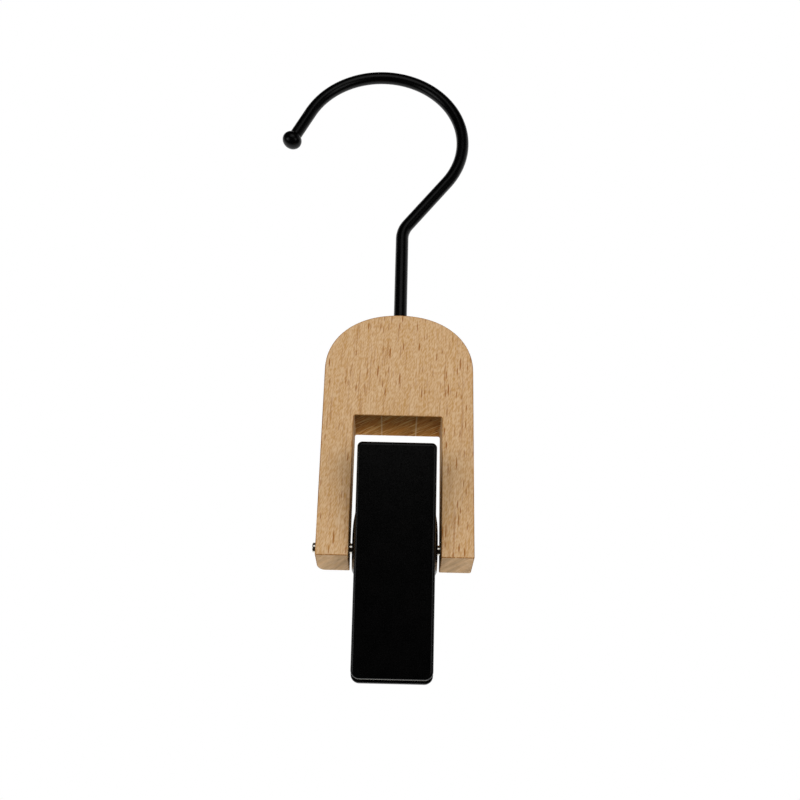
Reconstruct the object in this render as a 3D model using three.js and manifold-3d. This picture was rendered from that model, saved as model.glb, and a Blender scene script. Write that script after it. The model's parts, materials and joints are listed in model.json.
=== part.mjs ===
// Clip hanger: a wire hook that swivels in an arched beech block, and a sprung steel clip on a pin
// between the block's two legs. Millimetres, +Z up, and seen from -Y the hook's tip points left. The
// origin is the top of the loop's inside, where the hanger sits on a rail.
import * as THREE from 'three';
import { mergeVertices } from 'three/addons/utils/BufferGeometryUtils.js';
import Module from 'manifold-3d';

const wasm = await Module();
wasm.setup();

// Clearances
const restGap = 0.3; // between pieces that touch or sit in one another
const legGap = 0.75; // from a clip ear to the leg beside it
const swingGap = 0.79; // from the turning clip to the slot's top

// Clip plates, pressed from sheet
const sheet = 0.6;
const plateWidth = 22;
const plateDistance = 10.4; // from the pin's axis to a plate's outer face
const handleLength = 28.7; // from the pin up to the handle's end, along the plate
const jawLength = 34.65; // from the pin down to the front jaw's end
const backJawExtra = 0.7; // the back jaw reaches this much lower
const handleCorner = 1.4;
const jawCorner = 2.2;
const plateBend = 1;
const flangeDepth = 3.5; // how far the plate's edges turn back, from its outer face
const plateLean = THREE.MathUtils.degToRad(12.9);
const earRadius = 4.5;
const earRise = 10.2; // where an ear's upper edge leaves the flange
const earDrop = 8; // where its lower edge does
const earRamp = 2.8; // length of the step that carries the front ears outside the back ones

// Jaw pads
const padThickness = 0.6;
const padHeight = 9;
const padBelowLip = 0.15;
const padSideInset = 0.3;

// Pin and spring
const pinDiameter = 2.9;
const pinHeight = 4.25; // above the leg ends
const pinProud = 1.3;
const pinBlindDepth = 7;
const pinChamfer = 0.4;
const springWire = 1.2;
const springGap = 0.55; // between neighbouring curls
const springTurns = 5;
const springPinGap = 0.5;
const springArmHeight = 17; // along a plate, from the pin to where the arm bears
const springFoot = 3; // length of the arm's end that stands square to its plate

// Beech block
const bodyThickness = 15;
const legWidth = 9.05;
const headHeight = 32.85; // from the slot's top to the arch's top
const archRise = 18.35;
const archPower = 2.15; // 2 is an ellipse, more is squarer
const backRound = 1.8;

// Hook
const wireDiameter = 4;
const stemLength = 34.8; // from the arch's top to the corner of the bend
const stemDepth = 24; // inside the wood
const stemBend = 8.7;
const diagonalAngle = THREE.MathUtils.degToRad(53.5); // above the horizontal
const diagonalLength = 23.6;
const loopRadius = 26.75;
const loopEndAngle = THREE.MathUtils.degToRad(154.5);
const tipLength = 13.1;
const grooveCount = 3;
const grooveWidth = 1.2;
const groovePitch = 4;
const grooveDepth = 0.4;
const ballDiameter = 6.5;
const ballSquash = 0.86; // length over width

// Mesh fineness
const wireSides = 12;
const wireSteps = 84;
const archSteps = 24;
const curlSteps = 8;
const curlSides = 5;
const cornerSteps = 3;
const weldDistance = 1e-5; // vertices closer than this are one

// Sizes that follow from those above
const pinRadius = pinDiameter / 2;
const wireRadius = wireDiameter / 2;
const earOuter = plateWidth / 2 + restGap + sheet;
const slotWidth = 2 * (earOuter + legGap);
const bodyWidth = slotWidth + 2 * legWidth;
const lipGap = restGap / 2 + padThickness + restGap; // from the clip's middle plane to a jaw's lip
const backJawBend = jawLength + backJawExtra - plateBend;
const clipReach = Math.hypot(backJawBend, plateDistance - plateBend) + plateBend;
const slotHeight = pinHeight + clipReach + swingGap;
const bodyHeight = slotHeight + headHeight;
const loopCentre = loopCentrePoint();
const saddleHeight = loopCentre.y + loopRadius - wireRadius;
const far = 4 * bodyHeight; // longer than any cut needs

function finish(color, roughness, metalness) {
  return new THREE.MeshStandardMaterial({ color, roughness, metalness });
}

const beech = finish(0xc49f75, 0.55, 0);
const blackPaint = finish(0x0c0c0b, 0.35, 0.2);
const nickel = finish(0xc9c8c4, 0.2, 1);
const springSteel = finish(0x8d8e90, 0.35, 1);
const greyVinyl = finish(0x8f8c7e, 0.6, 0);

// A solid for joining and cutting, from a closed geometry.
function solidOf(geometry) {
  const bare = geometry.clone();
  bare.deleteAttribute('normal');
  bare.deleteAttribute('uv');
  const merged = mergeVertices(bare, weldDistance);
  const mesh = new wasm.Mesh({
    numProp: 3,
    vertProperties: new Float32Array(merged.attributes.position.array),
    triVerts: new Uint32Array(merged.index.array),
  });
  return new wasm.Manifold(mesh);
}

function geometryOf(solid) {
  const mesh = solid.getMesh();
  const geometry = new THREE.BufferGeometry();
  geometry.setAttribute('position', new THREE.BufferAttribute(mesh.vertProperties, 3));
  geometry.setIndex(new THREE.BufferAttribute(mesh.triVerts, 1));
  return geometry;
}

// An outline of (x, z) points, drawn out along Y between two places.
function alongY(shape, from, to) {
  const geometry = new THREE.ExtrudeGeometry(shape, {
    depth: to - from, bevelEnabled: false, curveSegments: cornerSteps,
  });
  return geometry.rotateX(Math.PI / 2).translate(0, to, 0);
}

// An outline of (y, z) points, drawn out along X between two places.
function alongX(shape, from, to) {
  const geometry = new THREE.ExtrudeGeometry(shape, {
    depth: to - from, bevelEnabled: false, curveSegments: 2 * cornerSteps,
  });
  const turn = new THREE.Matrix4().makeBasis(
    new THREE.Vector3(0, 1, 0), new THREE.Vector3(0, 0, 1), new THREE.Vector3(1, 0, 0),
  );
  return geometry.applyMatrix4(turn).translate(from, 0, 0);
}

function block(low, high) {
  const size = new THREE.Vector3().subVectors(high, low);
  const middle = new THREE.Vector3().addVectors(low, high).multiplyScalar(0.5);
  return new THREE.BoxGeometry(size.x, size.y, size.z).translate(middle.x, middle.y, middle.z);
}

function rodAlongX(radius, from, to) {
  const rod = new THREE.CylinderGeometry(radius, radius, to - from, 2 * wireSides);
  return rod.rotateZ(-Math.PI / 2).translate((from + to) / 2, 0, 0);
}

function rodAlongZ(radius, from, to) {
  const rod = new THREE.CylinderGeometry(radius, radius, to - from, 2 * wireSides);
  return rod.rotateX(Math.PI / 2).translate(0, 0, (from + to) / 2);
}

function roundedRectangle(halfWidth, low, high, lowCorner, highCorner) {
  const shape = new THREE.Shape();
  const lowSide = halfWidth - lowCorner;
  const highSide = halfWidth - highCorner;
  shape.absarc(highSide, high - highCorner, highCorner, 0, Math.PI / 2);
  shape.absarc(-highSide, high - highCorner, highCorner, Math.PI / 2, Math.PI);
  shape.absarc(-lowSide, low + lowCorner, lowCorner, Math.PI, 1.5 * Math.PI);
  shape.absarc(lowSide, low + lowCorner, lowCorner, 1.5 * Math.PI, 2 * Math.PI);
  shape.closePath();
  return shape;
}

// Hook: stem, bend, diagonal, loop and tip, in the (x, z) plane with x = 0 on the stem.
function hookCorner() {
  return new THREE.Vector2(0, bodyHeight + stemLength);
}

function loopCentrePoint() {
  const along = new THREE.Vector2(Math.cos(diagonalAngle), Math.sin(diagonalAngle));
  const left = new THREE.Vector2(-along.y, along.x);
  return hookCorner().addScaledVector(along, diagonalLength).addScaledVector(left, loopRadius);
}

function hookTip() {
  const out = new THREE.Vector2(Math.cos(loopEndAngle), Math.sin(loopEndAngle));
  const onward = new THREE.Vector2(-out.y, out.x);
  return loopCentre.clone().addScaledVector(out, loopRadius).addScaledVector(onward, tipLength);
}

class WireCurve extends THREE.Curve {
  constructor(path) {
    super();
    this.path = path;
  }

  getPoint(t, target = new THREE.Vector3()) {
    const point = this.path.getPoint(t);
    return target.set(point.x, 0, point.y);
  }
}

function makeHookWire() {
  const corner = hookCorner();
  const turn = Math.PI / 2 - diagonalAngle;
  const bendStart = corner.y - stemBend * Math.tan(turn / 2);
  const foot = bodyHeight - stemDepth;
  const tip = hookTip();
  const path = new THREE.Path();
  path.moveTo(0, foot);
  path.lineTo(0, bendStart);
  path.absarc(stemBend, bendStart, stemBend, Math.PI, Math.PI - turn, true);
  path.absarc(loopCentre.x, loopCentre.y, loopRadius, -turn, loopEndAngle);
  path.lineTo(tip.x, tip.y);
  const section = new THREE.Shape().absarc(0, 0, wireRadius, 0, 2 * Math.PI);
  const tube = new THREE.ExtrudeGeometry(section, {
    extrudePath: new WireCurve(path), steps: wireSteps, curveSegments: wireSides / 2,
  });
  let wire = solidOf(tube);
  const floor = wireRadius - grooveDepth;
  for (let i = 0; i < grooveCount; i += 1) {
    const low = foot + groovePitch * (i + 0.5);
    const ring = new THREE.LatheGeometry([
      new THREE.Vector2(floor, low),
      new THREE.Vector2(wireDiameter, low),
      new THREE.Vector2(wireDiameter, low + grooveWidth),
      new THREE.Vector2(floor, low + grooveWidth),
      new THREE.Vector2(floor, low),
    ], wireSides);
    wire = wire.subtract(solidOf(ring.rotateX(Math.PI / 2)));
  }
  return geometryOf(wire);
}

// The ball, with its socket towards the wire along -Z and its centre at the origin.
function makeBallTip() {
  const ball = new THREE.SphereGeometry(ballDiameter / 2, 2 * wireSides, wireSides);
  ball.rotateX(Math.PI / 2).scale(1, 1, ballSquash);
  const socket = rodAlongZ(wireRadius + restGap, -ballDiameter, restGap);
  return geometryOf(solidOf(ball).subtract(solidOf(socket)));
}

// Beech block, with x = 0 on the stem, y = 0 halfway through it and z = 0 at the leg ends.
function archOutline(bottom) {
  const half = bodyWidth / 2;
  const springing = bodyHeight - archRise;
  const shape = new THREE.Shape();
  shape.moveTo(-half, bottom);
  shape.lineTo(half, bottom);
  for (let i = 0; i <= archSteps; i += 1) {
    const angle = Math.PI * i / archSteps;
    const across = Math.sign(Math.cos(angle)) * Math.abs(Math.cos(angle)) ** (2 / archPower);
    const up = Math.sin(angle) ** (2 / archPower);
    shape.lineTo(half * across, springing + archRise * up);
  }
  shape.closePath();
  return shape;
}

function makeWoodBody() {
  const front = -bodyThickness / 2;
  const back = bodyThickness / 2;
  const outline = new THREE.ExtrudeGeometry(archOutline(-2 * backRound), {
    depth: bodyThickness, bevelThickness: backRound, bevelSize: backRound, bevelOffset: -backRound,
    bevelSegments: cornerSteps,
  });
  outline.rotateX(Math.PI / 2);
  outline.computeBoundingBox();
  outline.translate(0, back - outline.boundingBox.max.y, 0);
  const room = block(new THREE.Vector3(-far, front, 0), new THREE.Vector3(far, far, far));
  const slot = block(
    new THREE.Vector3(-slotWidth / 2, -far, -far), new THREE.Vector3(slotWidth / 2, far, slotHeight),
  );
  const stemHole = rodAlongZ(wireRadius + restGap, bodyHeight - stemDepth - restGap, bodyHeight + far);
  const holeEnd = slotWidth / 2 + pinBlindDepth + restGap;
  const pinHole = rodAlongX(pinRadius + restGap, -far, holeEnd).translate(0, 0, pinHeight);
  const wood = solidOf(outline).intersect(solidOf(room)).subtract(solidOf(slot));
  return geometryOf(wood.subtract(solidOf(stemHole)).subtract(solidOf(pinHole)));
}

// Pin, along X, with its left end proud of the left leg and its right end in a blind hole.
function makeAxlePin() {
  const left = -bodyWidth / 2 - pinProud;
  const right = slotWidth / 2 + pinBlindDepth;
  const profile = [
    new THREE.Vector2(0, left),
    new THREE.Vector2(pinRadius - pinChamfer, left),
    new THREE.Vector2(pinRadius, left + pinChamfer),
    new THREE.Vector2(pinRadius, right - pinChamfer),
    new THREE.Vector2(pinRadius - pinChamfer, right),
    new THREE.Vector2(0, right),
  ];
  return new THREE.LatheGeometry(profile, 2 * wireSides).rotateZ(-Math.PI / 2);
}

// A clip plate, upright and facing -Y, with the pin's axis along X through the origin. All its edges
// turn back.
function plateSlab(inset, length) {
  const bend = Math.max(plateBend - inset, plateBend / 4);
  const outline = roundedRectangle(
    plateWidth / 2 - inset, inset - length, handleLength - inset, jawCorner - inset, handleCorner - inset,
  );
  const slab = new THREE.ExtrudeGeometry(outline, {
    depth: plateDistance, bevelThickness: bend, bevelSize: bend, bevelOffset: -bend,
    bevelSegments: cornerSteps, curveSegments: cornerSteps,
  });
  slab.rotateX(Math.PI / 2);
  slab.computeBoundingBox();
  slab.translate(0, -plateDistance + inset - slab.boundingBox.min.y, 0);
  return solidOf(slab);
}

// The angle on the ear's round end where a straight edge from a point of the flange touches it.
function touchAngle(y, z) {
  return Math.atan2(z, y) - Math.acos(earRadius / Math.hypot(y, z));
}

// The ears' side view: straight edges from the flange to a round end about the pin.
function earProfile() {
  const root = -plateDistance + sheet / 2;
  const edge = -plateDistance + flangeDepth;
  const shape = new THREE.Shape();
  shape.moveTo(root, -earDrop);
  shape.lineTo(edge, -earDrop);
  shape.absarc(0, 0, earRadius, -touchAngle(edge, earDrop), touchAngle(edge, earRise));
  shape.lineTo(edge, earRise);
  shape.lineTo(root, earRise);
  shape.closePath();
  return solidOf(alongX(shape, -plateWidth, plateWidth));
}

// One ear seen from above, from the flange to past the pin; step carries it outwards.
function earPlan(side, step) {
  const outer = plateWidth / 2;
  const inner = outer - sheet;
  const start = -plateDistance + flangeDepth;
  const shape = new THREE.Shape();
  shape.moveTo(side * inner, -plateDistance + sheet / 2);
  shape.lineTo(side * outer, -plateDistance + sheet / 2);
  shape.lineTo(side * outer, start);
  shape.lineTo(side * (outer + step), start + earRamp);
  shape.lineTo(side * (outer + step), 2 * earRadius);
  shape.lineTo(side * (inner + step), 2 * earRadius);
  shape.lineTo(side * (inner + step), start + earRamp);
  shape.lineTo(side * inner, start);
  shape.closePath();
  const ear = new THREE.ExtrudeGeometry(shape, { depth: 2 * far, bevelEnabled: false });
  return solidOf(ear.translate(0, 0, -far));
}

function makePlate(length, step) {
  const room = block(
    new THREE.Vector3(-far, -far, -far), new THREE.Vector3(far, -plateDistance + flangeDepth, far),
  );
  const shell = plateSlab(0, length).subtract(plateSlab(sheet, length)).intersect(solidOf(room));
  const ears = earPlan(1, step).add(earPlan(-1, step)).intersect(earProfile());
  const lipCut = block(
    new THREE.Vector3(-far, -lipGap, -far), new THREE.Vector3(far, far, -length / 2),
  ).rotateX(-plateLean);
  const pinHole = rodAlongX(pinRadius + restGap, -far, far);
  const tray = shell.subtract(solidOf(lipCut));
  return geometryOf(tray.add(ears).subtract(solidOf(pinHole)));
}

// Where the leaning plate's turned-in end stops at its lip, measured from the pin. The lip is on the
// end's flat part, or on its bend where that reaches further.
function lipHeight(length) {
  const cosLean = Math.cos(plateLean);
  const sinLean = Math.sin(plateLean);
  const lip = -(lipGap + length * sinLean) / cosLean;
  const bendEnd = plateBend - plateDistance;
  if (lip > bendEnd) {
    return lip * sinLean - length * cosLean;
  }
  const bendBack = bendEnd * cosLean + (length - plateBend) * sinLean;
  const bendDown = bendEnd * sinLean - (length - plateBend) * cosLean;
  return bendDown - Math.sqrt(plateBend ** 2 - (lipGap + bendBack) ** 2);
}

// A jaw pad, upright, in front of the clip's middle plane: a face sheet on the jaw's lip, and a plug
// behind it that fills the jaw's end.
function makePad(length) {
  const cosLean = Math.cos(plateLean);
  const sinLean = Math.sin(plateLean);
  const faceFront = -restGap / 2 - padThickness;
  const low = lipHeight(length) - padBelowLip;
  const half = plateWidth / 2 - padSideInset;
  const corner = jawCorner - padSideInset;
  const outline = roundedRectangle(half, low, low + padHeight, corner, corner);
  const face = alongY(outline, faceFront, faceFront + padThickness);
  const inner = -plateDistance + sheet + restGap;
  const plugTop = low + padHeight - plateBend;
  const plugLow = (plateBend + restGap - length) * cosLean + inner * sinLean;
  const yAt = (z) => (inner - z * sinLean) / cosLean;
  const plug = new THREE.Shape();
  plug.moveTo(faceFront + padThickness / 2, plugLow);
  plug.lineTo(faceFront + padThickness / 2, plugTop);
  plug.lineTo(yAt(plugTop), plugTop);
  plug.lineTo(yAt(plugLow), plugLow);
  plug.closePath();
  const plugHalf = plateWidth / 2 - sheet - restGap - plateBend;
  return geometryOf(solidOf(face).add(solidOf(alongX(plug, -plugHalf, plugHalf))));
}

// Torsion spring: curls along the pin, and at each end an arm that turns square to its plate.
function springPoints() {
  const radius = pinRadius + springPinGap + springWire / 2;
  const pitch = springWire + springGap;
  const bear = -plateDistance + sheet + restGap;
  const tip = new THREE.Vector2(bear, springArmHeight).rotateAround(new THREE.Vector2(), plateLean);
  const knee = new THREE.Vector2(bear + springFoot, springArmHeight)
    .rotateAround(new THREE.Vector2(), plateLean);
  const reach = knee.length();
  const leave = knee.angle() - Math.acos(radius / reach);
  const sweep = 2 * Math.PI * springTurns + 2 * (leave - Math.PI / 2);
  const steps = Math.round(sweep / (2 * Math.PI) * curlSteps);
  const half = pitch * sweep / (4 * Math.PI);
  const points = [];
  points.push(new THREE.Vector3(half, -tip.x, tip.y));
  points.push(new THREE.Vector3(half, -knee.x, knee.y));
  for (let i = 0; i <= steps; i += 1) {
    const share = i / steps;
    const angle = Math.PI - leave + sweep * share;
    points.push(new THREE.Vector3(
      half * (1 - 2 * share), radius * Math.cos(angle), radius * Math.sin(angle),
    ));
  }
  points.push(new THREE.Vector3(-half, knee.x, knee.y));
  points.push(new THREE.Vector3(-half, tip.x, tip.y));
  return points;
}

// One closed tube through the points, turned along the way without twisting.
function tubeThrough(points, radius, sides) {
  const positions = [];
  const index = [];
  const last = points.length - 1;
  let across = null;
  points.forEach((point, i) => {
    const before = points[Math.max(i - 1, 0)];
    const after = points[Math.min(i + 1, last)];
    const into = new THREE.Vector3().subVectors(point, before).normalize();
    const out = new THREE.Vector3().subVectors(after, point).normalize();
    const tangent = new THREE.Vector3().addVectors(into, out).normalize();
    if (across === null) {
      across = new THREE.Vector3(1, 0, 0);
    }
    across.addScaledVector(tangent, -across.dot(tangent)).normalize();
    const other = new THREE.Vector3().crossVectors(tangent, across);
    for (let k = 0; k < sides; k += 1) {
      const angle = 2 * Math.PI * k / sides;
      const corner = point.clone()
        .addScaledVector(across, radius * Math.cos(angle))
        .addScaledVector(other, radius * Math.sin(angle));
      positions.push(corner.x, corner.y, corner.z);
    }
  });
  for (let i = 0; i < last; i += 1) {
    for (let k = 0; k < sides; k += 1) {
      const next = (k + 1) % sides;
      const a = i * sides + k;
      const b = i * sides + next;
      index.push(a, b, a + sides, b, b + sides, a + sides);
    }
  }
  for (let k = 1; k < sides - 1; k += 1) {
    index.push(0, k + 1, k);
    index.push(last * sides, last * sides + k, last * sides + k + 1);
  }
  const geometry = new THREE.BufferGeometry();
  geometry.setAttribute('position', new THREE.Float32BufferAttribute(positions, 3));
  geometry.setIndex(index);
  return geometry;
}

// The least gap between parts of the spring that aren't neighbours along the wire.
function leastSpringGap(points) {
  const fine = [];
  for (let i = 0; i < points.length - 1; i += 1) {
    for (let k = 0; k < curlSteps; k += 1) {
      fine.push(points[i].clone().lerp(points[i + 1], k / curlSteps));
    }
  }
  const lengths = [0];
  for (let i = 1; i < fine.length; i += 1) {
    lengths.push(lengths[i - 1] + fine[i].distanceTo(fine[i - 1]));
  }
  const apart = 4 * springWire; // along the wire
  let least = Infinity;
  for (let i = 0; i < fine.length; i += 1) {
    for (let k = i + 1; k < fine.length; k += 1) {
      if (lengths[k] - lengths[i] > apart) {
        least = Math.min(least, fine[i].distanceTo(fine[k]));
      }
    }
  }
  return least - springWire;
}

// Assembly
function piece(name, geometry, material) {
  const mesh = new THREE.Mesh(geometry, material);
  mesh.name = name;
  return mesh;
}

const hook = new THREE.Group();
const wire = piece('hook_wire', makeHookWire(), blackPaint);
const ball = piece('hook_ball_tip', makeBallTip(), blackPaint);
const tip = hookTip();
ball.position.set(tip.x, 0, tip.y);
ball.rotation.y = -loopEndAngle;
hook.add(wire, ball);

const wood = piece('wood_body', makeWoodBody(), beech);
const pin = piece('axle_pin', makeAxlePin(), nickel);
pin.position.z = pinHeight;

const curls = springPoints();
console.log(`torsion_spring least gap to itself ${leastSpringGap(curls).toFixed(2)} mm`);
const spring = piece('torsion_spring', tubeThrough(curls, springWire / 2, curlSides), springSteel);

const frontPlate = piece('clip_front_plate', makePlate(jawLength, restGap + sheet), blackPaint);
frontPlate.rotation.x = plateLean;
const frontPad = piece('front_jaw_pad', makePad(jawLength), greyVinyl);
const backHalf = new THREE.Group();
const backPlate = piece('clip_back_plate', makePlate(jawLength + backJawExtra, 0), blackPaint);
backPlate.rotation.x = plateLean;
const backPad = piece('back_jaw_pad', makePad(jawLength), greyVinyl);
backHalf.add(backPlate, backPad);
backHalf.rotation.z = Math.PI;

const clip = new THREE.Group();
clip.add(frontPlate, frontPad, backHalf, spring);
clip.position.z = pinHeight;

const hanger = new THREE.Group();
hanger.add(hook, wood, pin, clip);
hanger.position.set(-loopCentre.x, 0, -saddleHeight);

export default hanger;
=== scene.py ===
# Clip hanger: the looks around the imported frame. Metres, +Z up, the loop's inside top at the origin.
import json
import math

import bmesh
import bpy
from mathutils import Matrix, Vector


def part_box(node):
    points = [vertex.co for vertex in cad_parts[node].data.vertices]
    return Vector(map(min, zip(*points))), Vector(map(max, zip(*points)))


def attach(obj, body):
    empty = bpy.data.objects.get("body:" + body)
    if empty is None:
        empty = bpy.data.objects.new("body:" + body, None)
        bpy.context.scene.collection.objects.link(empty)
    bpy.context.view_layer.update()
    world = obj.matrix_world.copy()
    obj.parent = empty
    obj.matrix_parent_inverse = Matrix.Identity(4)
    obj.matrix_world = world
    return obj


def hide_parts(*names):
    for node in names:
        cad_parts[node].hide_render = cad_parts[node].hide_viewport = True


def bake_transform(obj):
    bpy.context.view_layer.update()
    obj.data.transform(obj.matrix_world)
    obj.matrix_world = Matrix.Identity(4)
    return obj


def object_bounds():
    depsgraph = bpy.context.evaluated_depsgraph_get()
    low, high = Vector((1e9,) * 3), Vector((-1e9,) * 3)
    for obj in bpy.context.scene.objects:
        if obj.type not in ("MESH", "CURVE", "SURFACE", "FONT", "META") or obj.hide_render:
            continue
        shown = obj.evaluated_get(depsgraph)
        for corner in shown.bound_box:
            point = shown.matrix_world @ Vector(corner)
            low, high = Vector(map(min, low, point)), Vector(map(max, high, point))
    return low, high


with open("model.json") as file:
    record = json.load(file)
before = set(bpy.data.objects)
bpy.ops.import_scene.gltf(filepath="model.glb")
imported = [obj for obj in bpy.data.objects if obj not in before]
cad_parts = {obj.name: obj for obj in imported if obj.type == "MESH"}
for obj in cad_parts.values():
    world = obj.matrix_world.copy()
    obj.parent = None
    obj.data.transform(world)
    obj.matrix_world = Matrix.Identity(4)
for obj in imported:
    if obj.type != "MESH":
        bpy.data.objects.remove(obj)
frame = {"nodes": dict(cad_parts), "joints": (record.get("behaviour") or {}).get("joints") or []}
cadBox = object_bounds()
mm = 0.001
scene = bpy.context.scene
scene.view_settings.view_transform = "Standard"

joints = {joint["name"]: joint for joint in frame["joints"]}
pinPoint = Vector(joints["jaw_open"]["pos_m"])  # on the pin's axis, at the clip's middle
stemX = joints["hook_swivel"]["pos_m"][0]
print("frame loaded:", ", ".join(sorted(frame["nodes"])))

camera = {
    "place": (7.08, -296.36, -254.57),  # mm
    "tilt": 24.609,  # degrees, looking up
    "yaw": 0.170,
    "roll": 1.321,
    "lens": 49.53,
    "sensor": 36,
}


def makeCamera():
    bpy.ops.object.camera_add()
    eye = bpy.context.object
    eye.data.sensor_width = camera["sensor"]
    eye.data.lens = camera["lens"]
    eye.matrix_world = (
        Matrix.Translation(Vector(camera["place"]) * mm)
        @ Matrix.Rotation(math.radians(-camera["yaw"]), 4, "Z")
        @ Matrix.Rotation(math.radians(camera["tilt"]), 4, "X")
        @ Matrix.Rotation(math.radians(-camera["roll"]), 4, "Y")
        @ Matrix.Rotation(math.radians(90), 4, "X")
    )
    scene.camera = eye


makeCamera()
print("camera placed")


# Modelling helpers
tolerance = 0.01 * mm  # points this close count as one place
mergeGap = 0.002 * mm
boreSides = 48
smoothAngle = math.radians(40)
normalWeight = 100  # how far the large faces lead the shading of a rounded edge


def clearSelection():
    if bpy.context.object and bpy.context.object.mode != "OBJECT":
        bpy.ops.object.mode_set(mode="OBJECT")
    bpy.ops.object.select_all(action="DESELECT")


def activate(piece):
    clearSelection()
    bpy.context.view_layer.objects.active = piece
    piece.select_set(True)


def openPiece(name):  # the primitive just added, its place moved into its mesh
    piece = bpy.context.object
    piece.name = name
    piece.data.name = name
    bpy.ops.object.transform_apply(location=True, rotation=True, scale=True)
    bpy.ops.object.mode_set(mode="EDIT")
    bpy.ops.mesh.select_all(action="SELECT")
    return piece


def middleOf(part):
    if isinstance(part, bmesh.types.BMVert):
        return part.co
    if isinstance(part, bmesh.types.BMEdge):
        return (part.verts[0].co + part.verts[1].co) / 2
    return part.calc_center_median()


def pick(piece, kind, test):  # selects the verts, edges or faces that pass the test
    modes = {"verts": "VERT", "edges": "EDGE", "faces": "FACE"}
    bpy.ops.mesh.select_mode(type=modes[kind])
    bpy.ops.mesh.select_all(action="DESELECT")
    shape = bmesh.from_edit_mesh(piece.data)
    found = [part for part in getattr(shape, kind) if test(part, middleOf(part))]
    for part in found:
        part.select_set(True)
    shape.select_flush_mode()
    bmesh.update_edit_mesh(piece.data)


def near(a, b):
    return abs(a - b) < tolerance


def pull(x, y, z):  # extrudes the selection by a step
    bpy.ops.mesh.extrude_region_move(TRANSFORM_OT_translate={"value": (x, y, z)})


def cut(point, normal, **clear):
    bpy.ops.mesh.bisect(plane_co=point, plane_no=normal, **clear)


def reshape(piece, change):  # moves each vertex by a rule
    shape = bmesh.from_edit_mesh(piece.data)
    for vert in shape.verts:
        change(vert.co)
    bmesh.update_edit_mesh(piece.data)


def eased(share):  # from 0 to 1, soft at both ends
    share = min(max(share, 0), 1)
    return share * share * (3 - 2 * share)


def faceOut():
    bpy.ops.mesh.select_all(action="SELECT")
    bpy.ops.mesh.remove_doubles(threshold=mergeGap)
    bpy.ops.mesh.normals_make_consistent(inside=False)


def applyModifier(piece, kind, **settings):
    activate(piece)
    modifier = piece.modifiers.new(kind.lower(), kind)
    for key, value in settings.items():
        setattr(modifier, key, value)
    bpy.ops.object.modifier_apply(modifier=modifier.name)


def drill(piece, start, end, radius):  # a round bore between two points
    clearSelection()
    way = Vector(end) - Vector(start)
    bpy.ops.mesh.primitive_cylinder_add(
        vertices=boreSides, radius=radius, depth=way.length, location=(Vector(start) + Vector(end)) / 2,
        rotation=way.to_track_quat("Z", "Y").to_euler(),
    )
    bit = bpy.context.object
    applyModifier(piece, "BOOLEAN", operation="DIFFERENCE", solver="EXACT", object=bit)
    bpy.data.objects.remove(bit)


def placeAt(piece, location, rotation):  # a turn and a move, kept in the mesh
    activate(piece)
    piece.location = location
    piece.rotation_euler = rotation
    bpy.ops.object.transform_apply(location=True, rotation=True, scale=True)


def finishPiece(piece, material, node):
    activate(piece)
    bpy.ops.object.shade_smooth_by_angle(angle=smoothAngle)
    applyModifier(piece, "WEIGHTED_NORMAL", keep_sharp=True, weight=normalWeight)
    piece.data.materials.clear()
    piece.data.materials.append(material)
    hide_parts(node)


# Material helpers
def newMaterial(name):
    material = bpy.data.materials.new(name)
    material.use_nodes = True
    material.node_tree.nodes.clear()
    return material, material.node_tree


def addNode(tree, kind, inputs=None, **settings):
    node = tree.nodes.new(kind)
    for key, value in settings.items():
        setattr(node, key, value)
    for key, value in (inputs or {}).items():
        if isinstance(value, bpy.types.NodeSocket):
            tree.links.new(value, node.inputs[key])
        else:
            node.inputs[key].default_value = value
    return node


def fromSrgb(red, green, blue):  # a colour written as 0 to 255
    def linear(value):
        share = value / 255
        return share / 12.92 if share <= 0.04045 else ((share + 0.055) / 1.055) ** 2.4

    return (linear(red), linear(green), linear(blue), 1)


def millimetres(tree, turn=(0, 0, 0)):  # the piece's own place in mm, turned by degrees
    place = addNode(tree, "ShaderNodeTexCoord")
    return addNode(tree, "ShaderNodeMapping", {
        "Vector": place.outputs["Object"], "Scale": (1 / mm,) * 3,
        "Rotation": tuple(math.radians(angle) for angle in turn),
    }).outputs["Vector"]


def stretched(tree, vector, cell):  # so that one unit is one cell
    return addNode(tree, "ShaderNodeMapping", {
        "Vector": vector, "Scale": tuple(1 / side for side in cell),
    }).outputs["Vector"]


def streaks(tree, vector, cell, detail=2):
    return addNode(tree, "ShaderNodeTexNoise", {
        "Vector": stretched(tree, vector, cell), "Scale": 1, "Detail": detail,
    }).outputs["Fac"]


def ranged(tree, value, fromLow, fromHigh, low=0, high=1, smooth=True):
    return addNode(tree, "ShaderNodeMapRange", {
        "Value": value, "From Min": fromLow, "From Max": fromHigh, "To Min": low, "To Max": high,
    }, interpolation_type="SMOOTHSTEP" if smooth else "LINEAR").outputs["Result"]


def product(tree, first, second):
    return addNode(tree, "ShaderNodeMath", {0: first, 1: second}, operation="MULTIPLY").outputs[0]


def larger(tree, first, second):
    return addNode(tree, "ShaderNodeMath", {0: first, 1: second}, operation="MAXIMUM").outputs[0]


def weighted(tree, base, parts):  # base plus each value times its weight
    total = base
    for value, weight in parts:
        total = addNode(
            tree, "ShaderNodeMath", {0: value, 1: weight, 2: total}, operation="MULTIPLY_ADD",
        ).outputs[0]
    return total


colorMix = {"mask": 0, "first": 6, "second": 7, "result": 2}  # a Mix node's sockets for colours


def blendColor(tree, mask, first, second, mode="MIX"):
    node = addNode(tree, "ShaderNodeMix", {
        colorMix["mask"]: mask, colorMix["first"]: first, colorMix["second"]: second,
    }, data_type="RGBA", blend_type=mode)
    return node.outputs[colorMix["result"]]


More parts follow.
